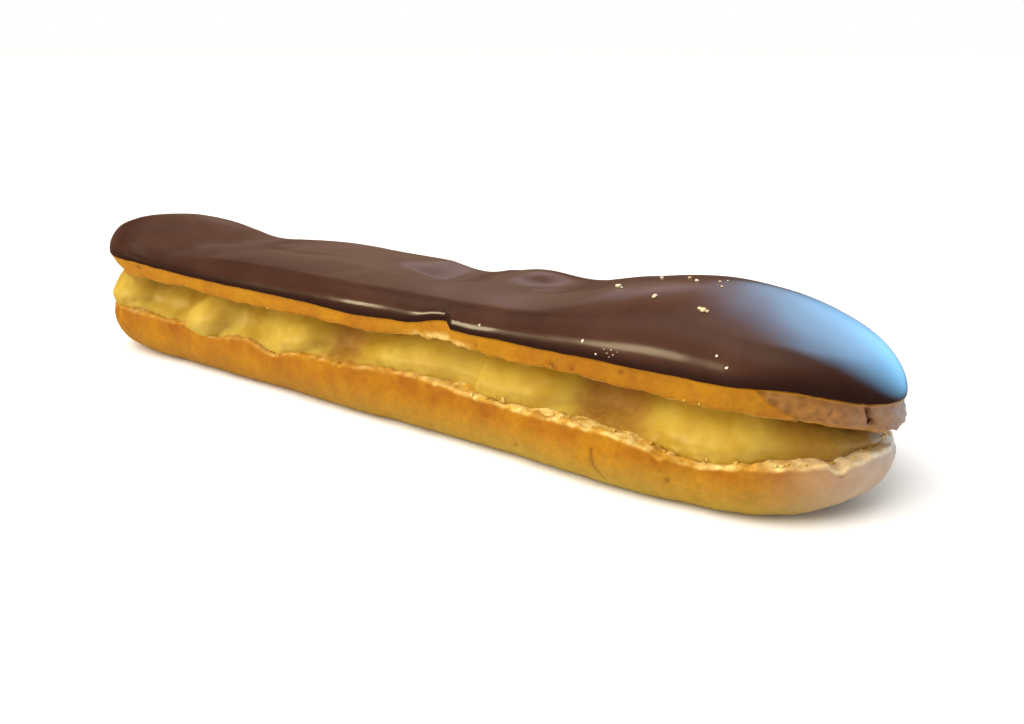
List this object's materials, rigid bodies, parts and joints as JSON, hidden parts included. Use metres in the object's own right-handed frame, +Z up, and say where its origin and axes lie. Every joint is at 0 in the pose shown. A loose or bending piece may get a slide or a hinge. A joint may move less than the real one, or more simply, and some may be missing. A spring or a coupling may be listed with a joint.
{
  "type": "chocolate eclair",
  "caption": "Long choux bun split along its side, filled with piped custard and topped with smooth chocolate icing; lies flat on its base.",
  "frame": {"origin": "middle of the base, on the surface the bun lies on", "axes": "+X along the bun towards its thicker iced end, +Z up, -Y towards the side shown open with custard"},
  "size_m": [0.174, 0.0384, 0.0308],
  "materials": {
    "choux_crust": "baked golden crust, matte, fine crumb at the torn edges",
    "custard": "smooth moist custard cream, softly shining",
    "chocolate": "set chocolate icing, smooth with a satin gloss"
  },
  "bodies": {
    "root": {"bottom_shell": "choux_crust", "custard_filling": "custard", "top_shell": "choux_crust", "chocolate_icing": "chocolate"}
  },
  "joints": []
}
